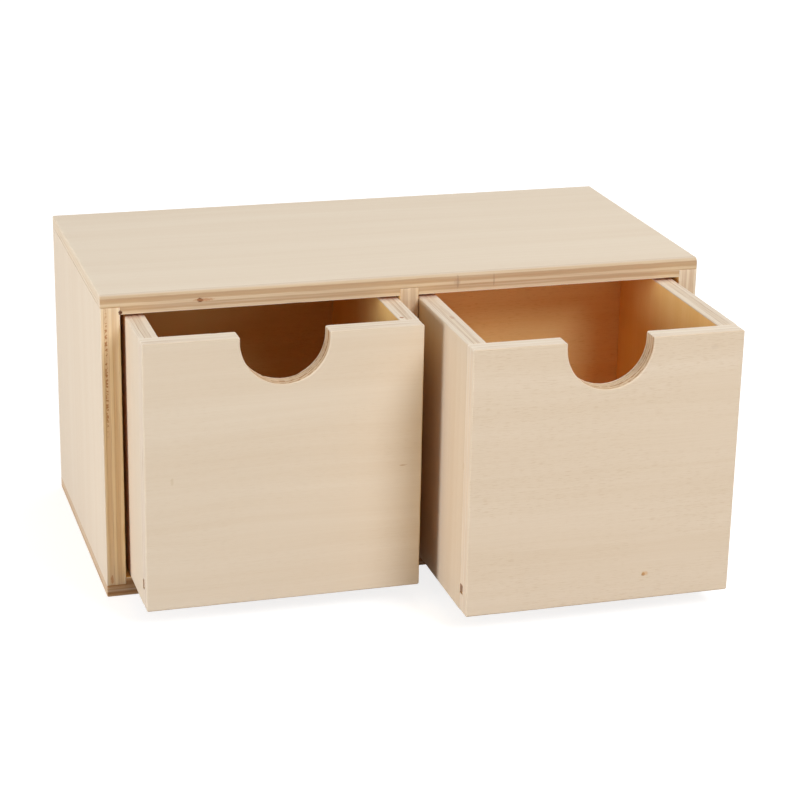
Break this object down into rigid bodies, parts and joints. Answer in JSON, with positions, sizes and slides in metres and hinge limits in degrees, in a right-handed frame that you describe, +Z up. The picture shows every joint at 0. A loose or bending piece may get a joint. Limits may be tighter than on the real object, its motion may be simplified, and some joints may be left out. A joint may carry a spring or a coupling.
{
  "type": "tabletop chest of drawers",
  "caption": "Low plywood tabletop chest with open-topped drawers side by side, each sliding wood on wood in its own bay and pulled by a half-round finger notch in its front.",
  "frame": {"origin": "centre of the carcass underside, on the surface that the chest stands on", "axes": "+X to the chest's right seen from the front, +Y to its back, +Z up; the drawers open towards -Y"},
  "size_m": [0.2, 0.156, 0.1015],
  "materials": {
    "carcass_plywood": "bare sanded pale plywood, layered edges",
    "drawer_plywood": "bare sanded pale plywood, layered edges",
    "drawer_bottom_plywood": "bare thin plywood"
  },
  "bodies": {
    "carcass": {"top_panel": "carcass_plywood", "bottom_panel": "carcass_plywood", "left_side_panel": "carcass_plywood", "right_side_panel": "carcass_plywood", "centre_divider": "carcass_plywood", "back_panel": "carcass_plywood"},
    "left_drawer": {"left_drawer_front": "drawer_plywood", "left_drawer_back": "drawer_plywood", "left_drawer_left_side": "drawer_plywood", "left_drawer_right_side": "drawer_plywood", "left_drawer_bottom": "drawer_bottom_plywood"},
    "right_drawer": {"right_drawer_front": "drawer_plywood", "right_drawer_back": "drawer_plywood", "right_drawer_left_side": "drawer_plywood", "right_drawer_right_side": "drawer_plywood", "right_drawer_bottom": "drawer_bottom_plywood"}
  },
  "joints": [
    {"name": "left_drawer_slide", "type": "slide", "parent": "carcass", "child": "left_drawer", "axis": [0, -1, 0], "range_m": [-0.028, 0.05]},
    {"name": "right_drawer_slide", "type": "slide", "parent": "carcass", "child": "right_drawer", "axis": [0, -1, 0], "range_m": [-0.056, 0.022]}
  ]
}
